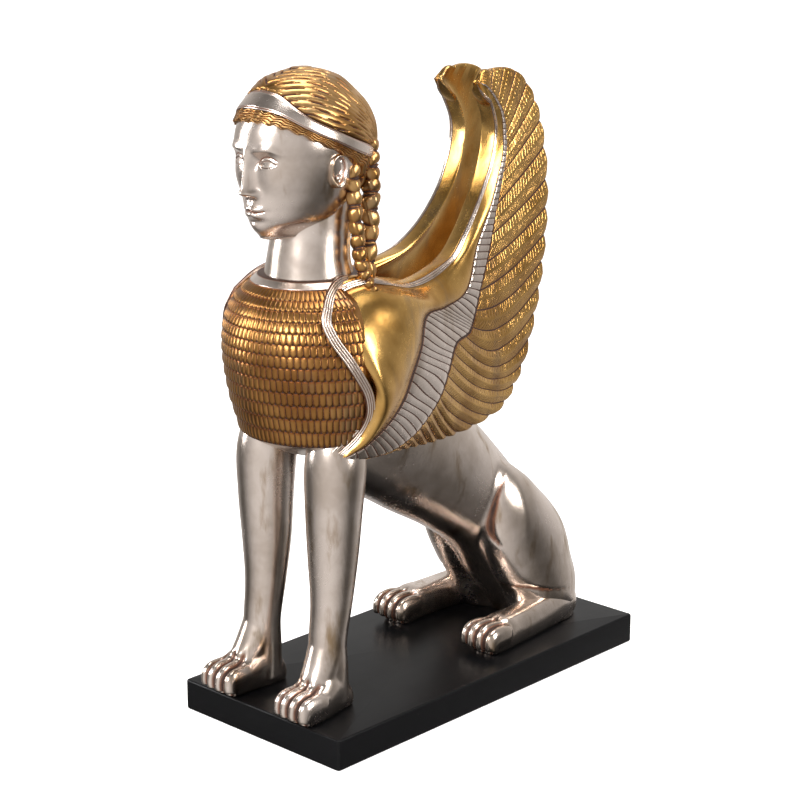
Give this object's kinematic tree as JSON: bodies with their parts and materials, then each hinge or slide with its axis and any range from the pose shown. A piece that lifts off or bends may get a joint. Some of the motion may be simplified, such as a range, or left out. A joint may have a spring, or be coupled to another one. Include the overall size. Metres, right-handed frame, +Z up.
{
  "type": "seated winged sphinx statue",
  "caption": "Seated winged sphinx with a woman's head, braided hair, scaled breast and tall swept wings, cast in one piece with gold and silver leaf, on a flat black board.",
  "frame": {"origin": "centre of the plinth's underside", "axes": "+Z up, the sphinx faces -Y, its left side is +X"},
  "size_m": [0.24, 0.5161, 0.7166],
  "materials": {
    "silver_leaf": "rubbed silver leaf over red-brown ground",
    "gold_leaf": "rubbed gold leaf with dark grooves",
    "black_satin": "satin black paint"
  },
  "bodies": {
    "root": {"sphinx_figure": "silver_leaf", "plinth": "black_satin"}
  },
  "joints": []
}
